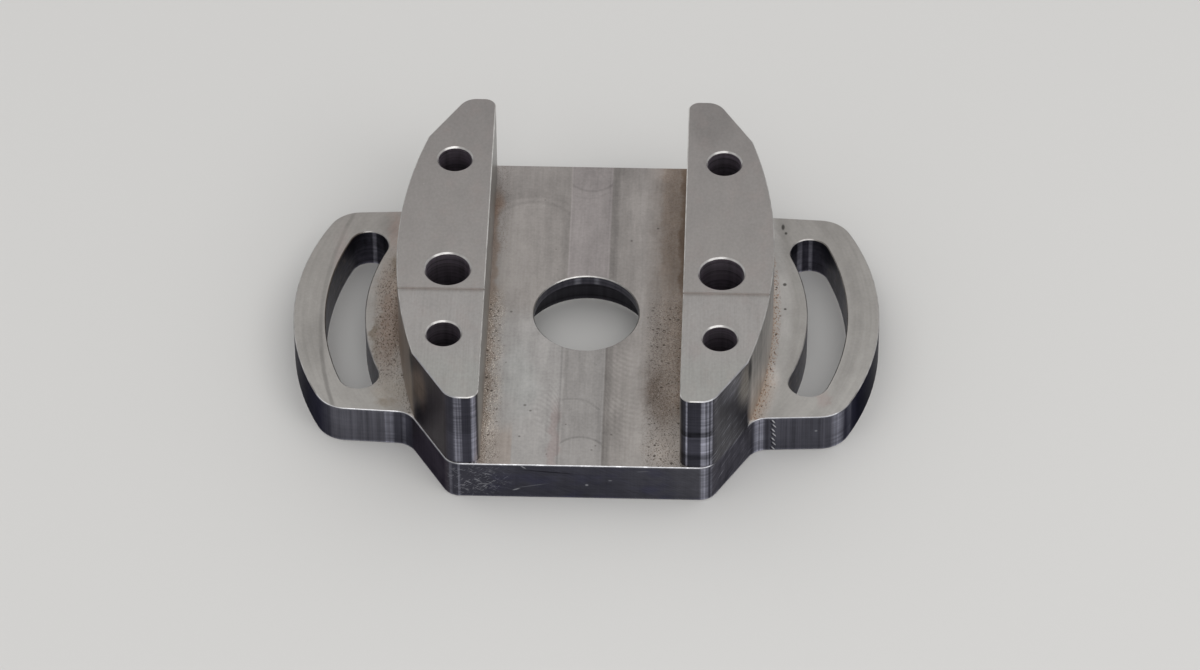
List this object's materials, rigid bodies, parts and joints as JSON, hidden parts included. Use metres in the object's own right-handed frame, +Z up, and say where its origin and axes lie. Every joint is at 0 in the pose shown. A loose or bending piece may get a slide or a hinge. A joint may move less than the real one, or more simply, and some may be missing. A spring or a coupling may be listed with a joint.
{
  "type": "slotted saddle bracket",
  "caption": "Milled aluminium saddle bracket: side ears with curved adjusting slots, upright drilled walls either side of an open channel, and a stepped bore in the middle.",
  "frame": {"origin": "on the axis of the central bore, in the plane of the underside, which is also the middle of the footprint", "axes": "+X across the channel towards the right ear, +Y along the channel towards the back, +Z up, out of the channel; the walls' step and the wider holes are towards the front, -Y"},
  "size_m": [0.156, 0.114, 0.0365],
  "materials": {
    "milled_aluminium": "as milled, bare, with cutter marks and light staining"
  },
  "bodies": {
    "root": {"saddle_bracket": "milled_aluminium"}
  },
  "joints": []
}
